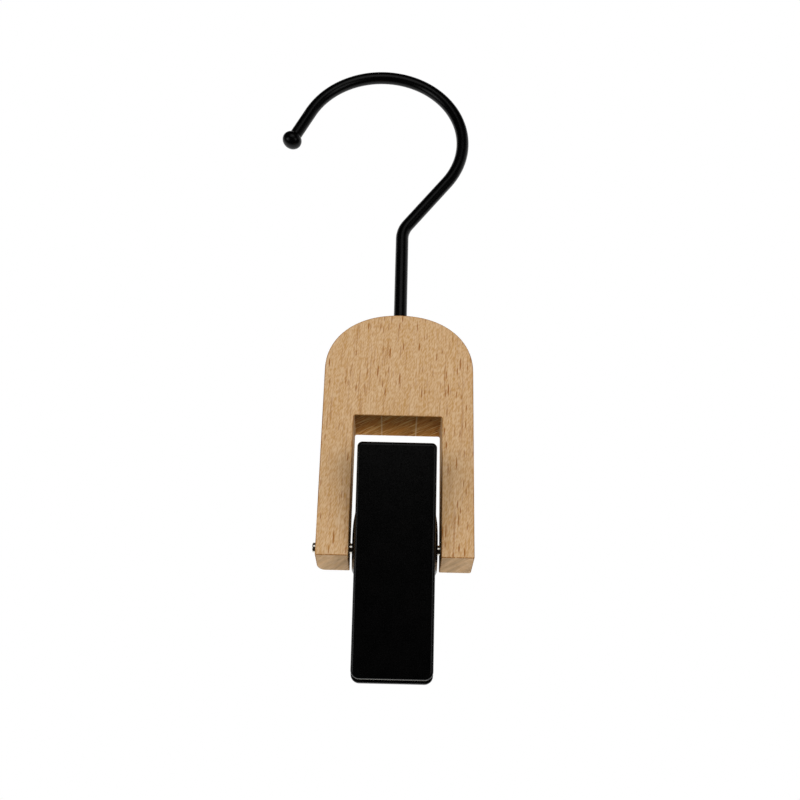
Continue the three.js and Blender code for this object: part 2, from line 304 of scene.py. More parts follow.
def closeMaterial(tree, inputs):
    shader = addNode(tree, "ShaderNodeBsdfPrincipled", inputs)
    addNode(tree, "ShaderNodeOutputMaterial", {"Surface": shader.outputs["BSDF"]})


# Fine unevenness that the paint, metals and vinyl share
noiseSpan = (0.3, 0.7)  # most of a noise's values lie between these
heightDetail = 3
patchCells = 8  # how many cells a patch of the mottle spans


def makeUnevenness():
    group = bpy.data.node_groups.new("fineUnevenness", "ShaderNodeTree")
    cell = group.interface.new_socket("Cell", in_out="INPUT", socket_type="NodeSocketVector")
    cell.default_value = (1, 1, 1)
    group.interface.new_socket("Height", in_out="OUTPUT", socket_type="NodeSocketFloat")
    group.interface.new_socket("Mottle", in_out="OUTPUT", socket_type="NodeSocketFloat")
    entry = addNode(group, "NodeGroupInput")
    place = millimetres(group)
    cells = addNode(group, "ShaderNodeVectorMath", {
        0: place, 1: entry.outputs["Cell"],
    }, operation="DIVIDE").outputs[0]
    height = streaks(group, cells, (1, 1, 1), heightDetail)
    broad = streaks(group, cells, (patchCells,) * 3)
    addNode(group, "NodeGroupOutput", {"Height": height, "Mottle": ranged(group, broad, *noiseSpan)})
    return group


unevenness = makeUnevenness()


def unevenMaterial(name, finish):
    material, tree = newMaterial(name)
    surface = addNode(tree, "ShaderNodeGroup", node_tree=unevenness)
    surface.inputs["Cell"].default_value = finish["cell"]
    mottle = surface.outputs["Mottle"]
    color = blendColor(tree, mottle, finish["deep"], finish["pale"])
    roughness = ranged(tree, surface.outputs["Height"], *noiseSpan, *finish["roughness"])
    bump = addNode(tree, "ShaderNodeBump", {
        "Height": surface.outputs["Height"],
        "Strength": finish["bump"], "Distance": finish["relief"] * mm,
    })
    closeMaterial(tree, {
        "Base Color": color, "Roughness": roughness, "Metallic": finish["metallic"],
        "Specular IOR Level": finish["specular"], "Normal": bump.outputs["Normal"],
    })
    return material


blackPaint = unevenMaterial("blackPaint", {
    "deep": (0.0005, 0.0005, 0.0005, 1),
    "pale": (0.001, 0.0009, 0.0009, 1),
    "cell": (0.55, 0.55, 0.55),  # mm, a fine orange peel
    "roughness": (0.24, 0.31),
    "bump": 0.12,
    "relief": 0.05,  # mm
    "metallic": 0,
    "specular": 0.2,
})
nickel = unevenMaterial("nickel", {
    "deep": (0.72, 0.68, 0.60, 1),
    "pale": (0.86, 0.82, 0.74, 1),
    "cell": (3, 0.12, 0.12),  # drawn lines along the pin
    "roughness": (0.08, 0.2),
    "bump": 0.1,
    "relief": 0.01,
    "metallic": 1,
    "specular": 0.5,
})
springSteel = unevenMaterial("springSteel", {
    "deep": (0.36, 0.36, 0.37, 1),
    "pale": (0.52, 0.52, 0.53, 1),
    "cell": (0.15, 0.5, 0.5),
    "roughness": (0.2, 0.38),
    "bump": 0.1,
    "relief": 0.02,
    "metallic": 1,
    "specular": 0.5,
})
greyVinyl = unevenMaterial("greyVinyl", {
    "deep": fromSrgb(132, 129, 116),
    "pale": fromSrgb(148, 144, 130),
    "cell": (0.4, 0.4, 0.4),
    "roughness": (0.5, 0.68),
    "bump": 0.3,
    "relief": 0.05,
    "metallic": 0,
    "specular": 0.4,
})

# Beech: rays and fibres as a solid pattern, so each face shows its own cut of the wood
grain = {
    "pale": fromSrgb(210, 178, 142),
    "deep": fromSrgb(180, 134, 77),
    "fleck": fromSrgb(138, 80, 26),
    "edge": fromSrgb(150, 104, 58),
    "legEndPaleAndLit": (1.14, 1.22, 1.4, 1),  # the sawn leg ends are paler, and the tint adds painted light from below
    "slotTopShade": (0.92, 0.63, 0.28, 1),  # painted shade: the slot's top, higher up, darker and warmer than the leg ends
    "upperFrom": (20, 26),  # mm above the leg ends
    "endTurn": (0.6, 0.9),  # a normal's upward share where a face turns into end grain
    "endTone": 0.42,  # the leg ends' own tone between deep and pale
    "endCalm": 0.65,  # how far they lose the streaks and flecks of the faces
    "endLines": (0.8, 1.15),  # how dark and how pale the rays' lines make the end grain
    "lineCell": (1.7, 16, 3),  # mm
    "sawSlant": 42,  # degrees between the saw's lines on the slot's top and the block's thickness
    "scratchCell": (0.4, 9, 3),
    "scratchSpan": (0.5, 0.72),
    "scratchTint": (0.64, 0.4, 0.17, 1),  # pale lines that only the slot's top has
    "slotShadeDepth": (0, 15),  # mm behind the front face; painted shade, the slot's top is darkest at the front
    "slotShadeRamp": (0.34, 1.12),
    "cutterLines": (-4.7, 5.4),  # mm from the middle, two faint lines on the slot's top
    "cutterWidth": 0.7,
    "cutterTint": (0.4, 0.3, 0.18, 1),
    "lean": 2,  # degrees that the rays lean to the right going up
    "streakLean": 17,
    "raySlant": 24,  # degrees between the rays and the block's thickness
    "longRays": {"cell": (1, 4, 11), "radius": 0.24},  # mm, and a share of the cell
    "shortRays": {"cell": (0.7, 4, 6), "radius": 0.28},
    "rayOrder": 0.75,  # below 1 the flecks keep more to rows along the grain
    "fleckCore": 0.55,  # the share of a fleck that has its full depth
    "fleckDepth": (-0.45, 1),  # from the missing flecks to the darkest
    "vesselCell": (0.42, 4, 15),
    "vesselSpan": (0.41, 0.3),  # noise this low makes a faint dark line along the grain
    "vesselDepth": 0.42,
    "streakCell": (0.23, 3, 1.05),
    "streakSpan": (0.36, 0.64),
    "streakDetail": 0,
    "fibreCell": (0.3, 4, 12),
    "fibreDetail": 1,
    "bandCell": (2.2, 2.4, 60),
    "ringWidth": 2.6,
    "ringWander": {"Distortion": 1.5, "Detail": 1, "Detail Scale": 0.3},
    "middleTone": 0.5,  # between deep and pale
    "weights": (0.5, 0.34, 0.12, 0.1),  # how much streaks, fibres, bands and rings change the tone
    "edgeFibres": (0, 0.6),
    "bump": 0.08,
    "relief": 0.06,  # mm
    "reliefParts": (0.4, 0.4, -0.8),  # streaks and fibres stand up, flecks are pores
    "reliefSpan": (-0.6, 0.8),
    "roughness": (0.86, 0.74),
    "specular": 0.02,
}


def rayFlecks(tree, vector, rays):
    cells = addNode(tree, "ShaderNodeTexVoronoi", {
        "Vector": stretched(tree, vector, rays["cell"]), "Scale": 1, "Randomness": grain["rayOrder"],
    })
    lens = ranged(tree, cells.outputs["Distance"], rays["radius"], rays["radius"] * grain["fleckCore"])
    red = addNode(tree, "ShaderNodeSeparateColor", {"Color": cells.outputs["Color"]}).outputs[0]
    depth = larger(tree, ranged(tree, red, 0, 1, *grain["fleckDepth"], smooth=False), 0)
    return product(tree, lens, depth)


def distanceTo(tree, value, place):
    apart = addNode(tree, "ShaderNodeMath", {0: value, 1: place}, operation="SUBTRACT").outputs[0]
    return addNode(tree, "ShaderNodeMath", {0: apart}, operation="ABSOLUTE").outputs[0]


def endGrain(tree, color, rays):  # the leg ends and the slot's top, lined by the rays; painted shade on the slot's top, painted light on the leg ends
    low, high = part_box("wood_body")
    normal = addNode(tree, "ShaderNodeTexCoord").outputs["Normal"]
    upward = addNode(tree, "ShaderNodeSeparateXYZ", {"Vector": normal}).outputs["Z"]
    end = ranged(tree, distanceTo(tree, upward, 0), *grain["endTurn"])
    place = addNode(tree, "ShaderNodeSeparateXYZ", {"Vector": millimetres(tree)}).outputs
    upper = ranged(tree, place["Z"], *(low.z / mm + rise for rise in grain["upperFrom"]))
    # painted shade for the slot's top; the leg ends' tint is partly painted light from below
    tint = blendColor(tree, upper, grain["legEndPaleAndLit"], grain["slotTopShade"])
    sawn = millimetres(tree, (0, 0, -grain["sawSlant"]))
    along = blendColor(tree, upper, rays, sawn)
    line = streaks(tree, along, grain["lineCell"])
    lines = ranged(tree, line, *noiseSpan, *grain["endLines"], smooth=False)
    lined = blendColor(tree, 1, tint, lines, "MULTIPLY")
    calm = product(tree, end, ranged(tree, upper, 0, 1, grain["endCalm"], 0))
    plain = blendColor(tree, grain["endTone"], grain["deep"], grain["pale"])
    color = blendColor(tree, calm, color, plain)
    color = blendColor(tree, end, color, lined, "MULTIPLY")
    inSlot = product(tree, upper, ranged(tree, upward, *(-share for share in grain["endTurn"])))
    scratch = ranged(tree, streaks(tree, sawn, grain["scratchCell"]), *grain["scratchSpan"])
    color = blendColor(tree, product(tree, inSlot, scratch), color, grain["scratchTint"], "SCREEN")
    middle = (low.x + high.x) / 2 / mm
    for offset in grain["cutterLines"]:
        away = distanceTo(tree, place["X"], middle + offset)
        mark = product(tree, inSlot, ranged(tree, away, grain["cutterWidth"] / 2, 0))
        color = blendColor(tree, mark, color, grain["cutterTint"], "SCREEN")
    # painted shade on the slot's top, darkest at the front face
    front = (low.y / mm + depth for depth in grain["slotShadeDepth"])
    slotShadeRamp = ranged(tree, place["Y"], *front, *grain["slotShadeRamp"], smooth=False)
    return blendColor(tree, inSlot, color, slotShadeRamp, "MULTIPLY")


def makeBeech():
    material, tree = newMaterial("beech")
    rays = millimetres(tree, (0, -grain["lean"], -grain["raySlant"]))
    leaning = millimetres(tree, (0, -grain["streakLean"], -grain["raySlant"]))
    streak = streaks(tree, leaning, grain["streakCell"], grain["streakDetail"])
    streak = ranged(tree, streak, *grain["streakSpan"], smooth=False)
    fibre = streaks(tree, rays, grain["fibreCell"], grain["fibreDetail"])
    fibre = ranged(tree, fibre, *noiseSpan, smooth=False)
    band = streaks(tree, rays, grain["bandCell"])
    waveRate = 20  # radians that Blender's wave turns in a unit
    ring = addNode(tree, "ShaderNodeTexWave", {
        "Vector": rays, "Scale": math.tau / (waveRate * grain["ringWidth"]), **grain["ringWander"],
    }, wave_type="BANDS", bands_direction="Y", wave_profile="SAW").outputs["Fac"]
    weights = grain["weights"]
    base = grain["middleTone"] - sum(weights) / 2
    tone = weighted(tree, base, zip((streak, fibre, band, ring), weights))
    color = blendColor(tree, tone, grain["deep"], grain["pale"])
    vessel = ranged(tree, streaks(tree, rays, grain["vesselCell"]), *grain["vesselSpan"])
    fleck = product(tree, vessel, grain["vesselDepth"])
    for size in ("longRays", "shortRays"):
        fleck = larger(tree, fleck, rayFlecks(tree, rays, grain[size]))
    color = blendColor(tree, fleck, color, grain["fleck"])
    color = endGrain(tree, color, rays)
    # a darker tone on the small rounded edges
    edge = addNode(tree, "ShaderNodeAttribute", attribute_name="sandedEdge").outputs["Fac"]
    edgeBand = product(tree, edge, ranged(tree, fibre, *grain["edgeFibres"]))
    color = blendColor(tree, edgeBand, color, grain["edge"])
    relief = weighted(tree, 0, zip((streak, fibre, fleck), grain["reliefParts"]))
    bump = addNode(tree, "ShaderNodeBump", {
        "Height": relief, "Strength": grain["bump"], "Distance": grain["relief"] * mm,
    })
    closeMaterial(tree, {
        "Base Color": color,
        "Roughness": ranged(tree, relief, *grain["reliefSpan"], *grain["roughness"]),
        "Specular IOR Level": grain["specular"], "Normal": bump.outputs["Normal"],
    })
    return material


beech = makeBeech()
print("finishes mixed")


# Beech block
block = {  # mm and degrees
    "legWidth": 9.05,
    "headHeight": 32.85,  # from the slot's top to the arch's top
    "archRise": 18.35,
    "archPower": 2.15,  # 2 is an ellipse, more is squarer
    "archPoints": 128,
    "flatAngle": 0.3,  # faces that meet flatter than this become one
    "slotCorner": 0.6,
    "slotSteps": 4,
    "sandedRound": 2.2,  # the back's outer edge, left side
    "sandedSteps": 8,
    "sandedShare": 0.35,  # how much of that the right side has
    "sandedDepth": 2.0,  # how far the left side's round is drawn out along the thickness
    "sandedReach": 1.2,  # what lies within so many rounds of the back is drawn out
    "edgeRound": 0.25,
    "edgeSteps": 3,
    "slant": (0.1, 0.97),  # a normal's share that tells a rounded edge from a flat face
    "boreGap": 0.1,
}


def markEdgeBand(wood, foot):  # the small slanted faces round the front and the leg ends, which get a darker tone
    marks = wood.data.attributes.new("sandedEdge", "FLOAT", "FACE")
    flattest, steepest = block["slant"]
    for face in wood.data.polygons:
        atFoot = face.center.z < foot + 2 * block["edgeRound"] * mm
        front = flattest < -face.normal.y < steepest
        under = atFoot and flattest < -face.normal.z < steepest
        marks.data[face.index].value = 1.0 if front or under else 0.0


def makeBlock():
    low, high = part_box("wood_body")
    half = (high.x - low.x) / 2
    middle = (high.x + low.x) / 2
    springing = high.z - block["archRise"] * mm
    slotTop = high.z - block["headHeight"] * mm
    slotHalf = half - block["legWidth"] * mm
    clearSelection()
    bpy.ops.mesh.primitive_circle_add(
        vertices=block["archPoints"], radius=half, fill_type="NGON",
        location=(middle, low.y, springing), rotation=(math.radians(90), 0, 0),
    )
    wood = openPiece("woodBlock")
    cut((0, 0, springing), (0, 0, 1), clear_inner=True)

    def fillArch(place):  # from a half circle to the fuller arch
        across = (place.x - middle) / half
        up = max((place.z - springing) / half, 0)
        power = 2 / block["archPower"]
        place.x = middle + half * math.copysign(abs(across) ** power, across)
        place.z = springing + block["archRise"] * mm * up ** power

    reshape(wood, fillArch)
    pick(wood, "edges", lambda edge, at: near(at.z, springing) and near(at.x, middle))
    pull(0, 0, low.z - springing)
    pick(wood, "faces", lambda face, at: at.z < springing)
    cut((0, 0, slotTop), (0, 0, 1))
    for side in (-1, 1):
        pick(wood, "faces", lambda face, at: at.z < slotTop)
        cut((middle + side * slotHalf, 0, 0), (1, 0, 0))
    pick(wood, "faces", lambda face, at: at.z < slotTop and abs(at.x - middle) < slotHalf)
    bpy.ops.mesh.delete(type="FACE")
    bpy.ops.mesh.select_all(action="SELECT")
    bpy.ops.mesh.dissolve_limited(angle_limit=math.radians(block["flatAngle"]))
    bpy.ops.mesh.select_all(action="SELECT")
    pull(0, high.y - low.y, 0)
    faceOut()
    pick(wood, "edges", lambda edge, at: near(at.z, slotTop) and near(abs(at.x - middle), slotHalf))
    bpy.ops.mesh.bevel(offset=block["slotCorner"] * mm, segments=block["slotSteps"], affect="EDGES")
    bpy.ops.object.mode_set(mode="OBJECT")

    # the back's outer edge is rounded, more on the left than on the right
    weights = wood.data.attributes.new("bevel_weight_edge", "FLOAT", "EDGE")
    for edge in wood.data.edges:
        ends = [wood.data.vertices[index].co for index in edge.vertices]
        at = (ends[0] + ends[1]) / 2
        onBack = all(near(end.y, high.y) for end in ends)
        onSide = near(abs(at.x - middle), half) or at.z > springing
        if onBack and onSide:
            rightness = (at.x - low.x) / (high.x - low.x)
            weights.data[edge.index].value = 1 - rightness * (1 - block["sandedShare"])
    applyModifier(
        wood, "BEVEL", limit_method="WEIGHT", width=block["sandedRound"] * mm,
        segments=block["sandedSteps"],
    )
    bpy.ops.object.mode_set(mode="EDIT")

    def drawOut(place):
        inside = high.y - place.y
        if 0 < inside < block["sandedReach"] * block["sandedRound"] * mm:
            leftness = (high.x - place.x) / (high.x - low.x)
            place.y = high.y - inside * (1 + leftness * (block["sandedDepth"] - 1))

    reshape(wood, drawOut)
    bpy.ops.mesh.select_mode(type="EDGE")
    bpy.ops.mesh.select_all(action="DESELECT")
    bpy.ops.mesh.edges_select_sharp(sharpness=smoothAngle)
    bpy.ops.mesh.bevel(
        offset=block["edgeRound"] * mm, segments=block["edgeSteps"], affect="EDGES", clamp_overlap=True,
    )
    faceOut()
    bpy.ops.object.mode_set(mode="OBJECT")

    pinLow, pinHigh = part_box("axle_pin")
    gap = block["boreGap"] * mm
    pinBore = (pinHigh.z - pinLow.z) / 2 + gap
    left = (pinLow.x - mm, pinPoint.y, pinPoint.z)
    right = (pinHigh.x + gap, pinPoint.y, pinPoint.z)
    drill(wood, left, right, pinBore)
    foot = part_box("hook_wire")[0].z
    drill(wood, (stemX, 0, foot - gap), (stemX, 0, high.z + mm), hookRadius + gap)
    markEdgeBand(wood, low.z)
    finishPiece(wood, beech, "wood_body")
    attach(wood, "frame")


# Hook wire: a ring drawn up the stem, round the bend, along the diagonal and round the loop
hook = {  # mm and degrees
    "diameter": 4,
    "sides": 32,
    "stemBend": 8.7,
    "bendSteps": 14,
    "diagonalAngle": 53.5,
    "loopRadius": 26.75,
    "loopSteps": 110,
    "loopEnd": 154.5,
    "tipLength": 13.1,
    "grooves": 3,
    "grooveStart": 2,  # from the wire's foot
    "groovePitch": 4,
    "grooveWidth": 1.2,
    "grooveDepth": 0.4,
}
hookRadius = hook["diameter"] / 2 * mm
loopRadius = hook["loopRadius"] * mm
loopCentre = Vector((0, 0, hookRadius - loopRadius))
loopEnd = math.radians(hook["loopEnd"])
tipWay = Vector((-math.sin(loopEnd), 0, math.cos(loopEnd)))  # the wire's heading at its tip
loopOut = Vector((math.cos(loopEnd), 0, math.sin(loopEnd)))
hookTip = loopCentre + loopRadius * loopOut + hook["tipLength"] * mm * tipWay


def makeHook():
    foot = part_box("hook_wire")[0].z
    turn = math.radians(90 - hook["diagonalAngle"])
    bend = hook["stemBend"] * mm
    along = Vector((math.sin(turn), 0, math.cos(turn)))
    loopStart = loopCentre + loopRadius * Vector((math.cos(turn), 0, -math.sin(turn)))
    corner = loopStart - along * ((loopStart.x - stemX) / along.x)
    bendStart = corner.z - bend * math.tan(turn / 2)
    bendEnd = corner + along * (bend * math.tan(turn / 2))
    clearSelection()
    bpy.ops.mesh.primitive_circle_add(
        vertices=hook["sides"], radius=hookRadius, fill_type="NOTHING", location=(stemX, 0, foot),
    )
    wire = openPiece("hookWire")
    narrow = 1 - 2 * hook["grooveDepth"] / hook["diameter"]
    height = foot
    for groove in range(hook["grooves"]):
        start = foot + (hook["grooveStart"] + hook["groovePitch"] * groove) * mm
        pull(0, 0, start - height)
        pull(0, 0, 0)
        bpy.ops.transform.resize(value=(narrow, narrow, 1), center_override=(stemX, 0, start))
        height = start + hook["grooveWidth"] * mm
        pull(0, 0, height - start)
        pull(0, 0, 0)
        bpy.ops.transform.resize(value=(1 / narrow, 1 / narrow, 1), center_override=(stemX, 0, height))
    pull(0, 0, bendStart - height)
    bpy.ops.mesh.spin(
        steps=hook["bendSteps"], angle=-turn, center=(stemX + bend, 0, bendStart), axis=(0, 1, 0),
    )
    pull(*(loopStart - bendEnd))
    bpy.ops.mesh.spin(
        steps=hook["loopSteps"], angle=turn + loopEnd, center=loopCentre, axis=(0, 1, 0),
    )
    pull(*(tipWay * hook["tipLength"] * mm))
    bpy.ops.mesh.select_all(action="SELECT")
    bpy.ops.mesh.fill_holes(sides=0)
    faceOut()
    bpy.ops.object.mode_set(mode="OBJECT")
    finishPiece(wire, blackPaint, "hook_wire")
    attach(wire, "hook")


# Ball on the hook's tip: a squashed ball with a lip round the wire
ball = {  # mm
    "diameter": 6.5,
    "squash": 0.86,  # the share of its diameter that it has along the wire
    "segments": 56,
    "rings": 36,
    "lipGap": 0.1,
    "lipRound": 0.12,
    "lipSteps": 3,
    "socketDepth": 1.5,
}


def makeBall():
    radius = ball["diameter"] / 2 * mm
    mouth = hookRadius + ball["lipGap"] * mm
    clearSelection()
    bpy.ops.mesh.primitive_uv_sphere_add(
        segments=ball["segments"], ring_count=ball["rings"], radius=radius, location=hookTip,
        rotation=(0, -loopEnd, 0), scale=(1, 1, ball["squash"]),
    )
    tip = openPiece("hookBallTip")
    neck = radius * ball["squash"] * math.sqrt(1 - (mouth / radius) ** 2)
    mouthAt = hookTip - tipWay * neck
    cut(mouthAt, tipWay, clear_inner=True)
    pick(tip, "edges", lambda edge, at: edge.is_boundary)
    pull(*(tipWay * ball["socketDepth"] * mm))
    bpy.ops.mesh.fill_holes(sides=0)
    pick(tip, "edges", lambda edge, at: near((at - mouthAt).dot(tipWay), 0))
    bpy.ops.mesh.bevel(offset=ball["lipRound"] * mm, segments=ball["lipSteps"], affect="EDGES")
    faceOut()
    bpy.ops.object.mode_set(mode="OBJECT")
    finishPiece(tip, blackPaint, "hook_ball_tip")
    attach(tip, "hook")


# Pin
pin = {"sides": 48, "chamfer": 0.4, "chamferSteps": 4}  # mm


def makePin():
    low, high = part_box("axle_pin")
    clearSelection()
    bpy.ops.mesh.primitive_cylinder_add(
        vertices=pin["sides"], radius=(high.z - low.z) / 2, depth=high.x - low.x,
        location=(low + high) / 2, rotation=(0, math.radians(90), 0),
    )
    rod = openPiece("axlePin")
    pick(rod, "edges", lambda edge, at: all(
        near(vert.co.x, low.x) or near(vert.co.x, high.x) for vert in edge.verts
    ) and near(edge.verts[0].co.x, edge.verts[1].co.x))
    bpy.ops.mesh.bevel(offset=pin["chamfer"] * mm, segments=pin["chamferSteps"], affect="EDGES")
    faceOut()
    bpy.ops.object.mode_set(mode="OBJECT")
    finishPiece(rod, nickel, "axle_pin")
    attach(rod, "frame")


# Clip plates: a tray with edges turned in all round, ears round the pin. Each is modelled upright
# about the pin, facing -Y, and then leaned
plate = {  # mm and degrees
    "sheet": 0.6,
    "width": 22,
    "distance": 10.4,  # from the pin's axis to the outer face
    "handle": 28.7,
    "frontJaw": 34.85,
    "backJaw": 35.35,
    "handleCorner": 1.4,
    "jawCorner": 2.2,
    "cornerSteps": 8,
    "bend": 1,
    "bendSteps": 6,
    "jawFold": 0.4,  # the share of the bend that the jaw's end has, folded sharper than the sides
    "flange": 3.5,
    "lean": 12.9,
    "lipGap": 1.05,  # from the clip's middle plane
    "earRadius": 4.5,
    "earSteps": 16,
    "earRise": 10.2,
    "earDrop": 8,
    "earStep": 0.75,  # carries the front ears outside the back ones
    "swellFull": 6.2,  # distance from the pin's axis within which the step is whole
    "swellEnd": (10, 13),  # where it has faded out, below the ear's middle and at its upper end
    "earRows": 14,  # cuts that let the step swell out softly
    "earColumns": 8,
    "flangeColumns": 3,
    "pinGap": 0.1,
    "edgeRound": 0.1,
    "edgeSteps": 2,
    "edgeAngle": 50,
}


def pressTray(name, jaw):  # the plate's face, its bent edges and its jaw's lip
    face = -plate["distance"] * mm
    top = plate["handle"] * mm
    bottom = -jaw * mm
    flangeEdge = face + plate["flange"] * mm
    bend = plate["bend"] * mm
    lean = math.radians(plate["lean"])
    clearSelection()
    bpy.ops.mesh.primitive_plane_add(
        size=1, location=(0, flangeEdge, (top + bottom) / 2), rotation=(math.radians(90), 0, 0),
    )
    bpy.context.object.scale = (plate["width"] * mm, top - bottom, 1)
    tray = openPiece(name)
    for end, corner in ((top, plate["handleCorner"]), (bottom, plate["jawCorner"])):
        pick(tray, "verts", lambda vert, at: near(at.z, end))
        bpy.ops.mesh.bevel(offset=corner * mm, segments=plate["cornerSteps"], affect="VERTICES")
    bpy.ops.mesh.select_all(action="SELECT")
    pull(0, face + bend - flangeEdge, 0)
    for step in range(plate["bendSteps"]):  # the edges' bend, a quarter round
        before = math.radians(90) * step / plate["bendSteps"]
        after = math.radians(90) * (step + 1) / plate["bendSteps"]
        bpy.ops.mesh.inset(
            thickness=bend * (math.cos(before) - math.cos(after)),
            depth=bend * (math.sin(after) - math.sin(before)),
        )
    pick(tray, "faces", lambda side, at: near(at.y, flangeEdge))
    bpy.ops.mesh.delete(type="FACE")
    corner = plate["jawCorner"] * mm
    reach = plate["width"] / 2 * mm - corner

    def foldJaw(place):
        middle = Vector((min(max(place.x, -reach), reach), place.y, bottom + corner))
        if place.z < middle.z:
            out = place - middle
            share = plate["jawFold"] + (1 - plate["jawFold"]) * eased(abs(out.x) / out.length)
            out.length = corner - (corner - out.length) * share
            place.xyz = middle + out

    reshape(tray, foldJaw)
    across = Vector((0, math.cos(lean), -math.sin(lean)))  # square to the clip's middle plane
    bpy.ops.mesh.select_all(action="SELECT")
    cut(across * -plate["lipGap"] * mm, across, clear_outer=True)
    return tray


def drawEars(tray, earStep):  # ears grow out of the flanges, and the front ones swell outwards
    bendLine = (plate["bend"] - plate["distance"]) * mm
    flangeEdge = (plate["flange"] - plate["distance"]) * mm
    halfWidth = plate["width"] / 2 * mm
    rise = plate["earRise"] * mm
    drop = plate["earDrop"] * mm
    radius = plate["earRadius"] * mm

    def onFlange(side, at):
        return near(abs(at.x), halfWidth)

    def underEar(side, at):
        return near(abs(at.x), halfWidth) and -drop < at.z < rise

    for row in range(plate["earRows"] + 1):
        pick(tray, "faces", onFlange)
        cut((0, 0, (rise + drop) * row / plate["earRows"] - drop), (0, 0, 1))
    for column in range(1, plate["flangeColumns"]):
        pick(tray, "faces", underEar)
        cut((0, bendLine + (flangeEdge - bendLine) * column / plate["flangeColumns"], 0), (0, 1, 0))
    pick(tray, "edges", lambda edge, at: edge.is_boundary and underEar(edge, at))
    for column in range(plate["earColumns"]):
        pull(0, (radius - flangeEdge) / plate["earColumns"], 0)

    def touchAngle(y, z):  # where a straight edge from the flange touches the ear's round end
        return math.atan2(z, y) - math.acos(radius / math.hypot(y, z))

    upper = touchAngle(flangeEdge, rise)
    lower = -touchAngle(flangeEdge, drop)
    for step in range(plate["earSteps"] + 1):
        angle = lower + (upper - lower) * step / plate["earSteps"]
        out = Vector((0, math.cos(angle), math.sin(angle)))
        pick(tray, "faces", lambda side, at: at.y > flangeEdge)
        cut(out * radius, out, clear_outer=True)

    def swell(place):  # round the pin
        if near(abs(place.x), halfWidth):
            lowerEnd, upperEnd = plate["swellEnd"]
            end = lowerEnd + (upperEnd - lowerEnd) * eased(place.z / rise)
            share = eased((end - math.hypot(place.y, place.z) / mm) / (end - plate["swellFull"]))
            place.x += math.copysign(earStep * mm * share, place.x)

    reshape(tray, swell)


def makePlate(name, jaw, earStep, turned):
    tray = pressTray(name, jaw)
    drawEars(tray, earStep)
    faceOut()
    pick(tray, "faces", lambda side, at: near(at.y, -plate["distance"] * mm))
    shape = bmesh.from_edit_mesh(tray.data)
    facesIn = any(side.select and side.normal.y > 0 for side in shape.faces)
    bpy.ops.mesh.select_all(action="SELECT")
    if facesIn:
        bpy.ops.mesh.flip_normals()
    bpy.ops.object.mode_set(mode="OBJECT")
    applyModifier(tray, "SOLIDIFY", thickness=plate["sheet"] * mm, offset=-1, use_even_offset=True)
    pinLow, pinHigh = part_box("axle_pin")
    bore = (pinHigh.z - pinLow.z) / 2 + plate["pinGap"] * mm
    drill(tray, (-plate["width"] * mm, 0, 0), (plate["width"] * mm, 0, 0), bore)
    applyModifier(
        tray, "BEVEL", limit_method="ANGLE", angle_limit=math.radians(plate["edgeAngle"]),
        segments=plate["edgeSteps"], width=plate["edgeRound"] * mm,
    )
    lean = math.radians(plate["lean"])
    placeAt(tray, pinPoint, (lean, 0, math.radians(180) if turned else 0))
    return tray


def makePlates():
    front = makePlate("clipFrontPlate", plate["frontJaw"], plate["earStep"], False)
    finishPiece(front, blackPaint, "clip_front_plate")
    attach(front, "clip_front")
    back = makePlate("clipBackPlate", plate["backJaw"], 0, True)
    finishPiece(back, blackPaint, "clip_back_plate")
    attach(back, "clip_back")


# Jaw pads: a face sheet on the jaw's lip with a plug behind it that fills the jaw's end
pad = {  # mm and degrees
    "thickness": 0.45,
    "corner": 1.9,
    "cornerSteps": 8,
    "restGap": 0.3,  # from the plug to the plate round it
    "backLift": 0.35,  # the back pad ends this far above its jaw's end
    "edgeRound": 0.15,
    "edgeSteps": 3,
    "edgeAngle": 50,
}


def makePad(name, node, body, turned):
    low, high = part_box(node)
    bottom = low.z - pinPoint.z + (pad["backLift"] * mm if turned else 0)
    top = high.z - pinPoint.z
    lean = math.radians(plate["lean"])
    grip = -abs((low.y if turned else high.y) - pinPoint.y)  # the face that grips, seen from the front
    behind = grip - pad["thickness"] * mm
    inner = (plate["sheet"] + pad["restGap"] - plate["distance"]) * mm
    jawEnd = (plate["bend"] + pad["restGap"] - plate["frontJaw"]) * mm
    plugLow = jawEnd * math.cos(lean) + inner * math.sin(lean)
    plugTop = top - plate["bend"] * mm
    plugHalf = (plate["width"] / 2 - plate["sheet"] - pad["restGap"] - plate["bend"]) * mm
    clearSelection()
    bpy.ops.mesh.primitive_plane_add(
        size=1, location=(0, grip, (top + bottom) / 2), rotation=(math.radians(90), 0, 0),
    )
    bpy.context.object.scale = (high.x - low.x, top - bottom, 1)
    sheet = openPiece(name)
    bpy.ops.mesh.bevel(offset=pad["corner"] * mm, segments=pad["cornerSteps"], affect="VERTICES")
    bpy.ops.mesh.select_all(action="SELECT")
    pull(0, behind - grip, 0)
    faceOut()

    def atPlug(face, at):
        return near(at.y, behind) and plugLow < at.z < plugTop

    for height in (plugLow, plugTop):
        pick(sheet, "faces", lambda face, at: near(at.y, behind))
        cut((0, 0, height), (0, 0, 1))
    for side in (-plugHalf, plugHalf):
        pick(sheet, "faces", atPlug)
        cut((side, 0, 0), (1, 0, 0))
    pick(sheet, "faces", lambda face, at: atPlug(face, at) and abs(at.x) < plugHalf)
    pull(0, inner - behind, 0)

    def slant(place):  # the plug's far face lies along the leaning plate
        if near(place.y, inner):
            place.y = (inner - place.z * math.sin(lean)) / math.cos(lean)

    reshape(sheet, slant)
    faceOut()
    bpy.ops.object.mode_set(mode="OBJECT")
    applyModifier(
        sheet, "BEVEL", limit_method="ANGLE", angle_limit=math.radians(pad["edgeAngle"]),
        segments=pad["edgeSteps"], width=pad["edgeRound"] * mm,
    )
    placeAt(sheet, pinPoint, (0, 0, math.radians(180) if turned else 0))
    finishPiece(sheet, greyVinyl, node)
    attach(sheet, body)


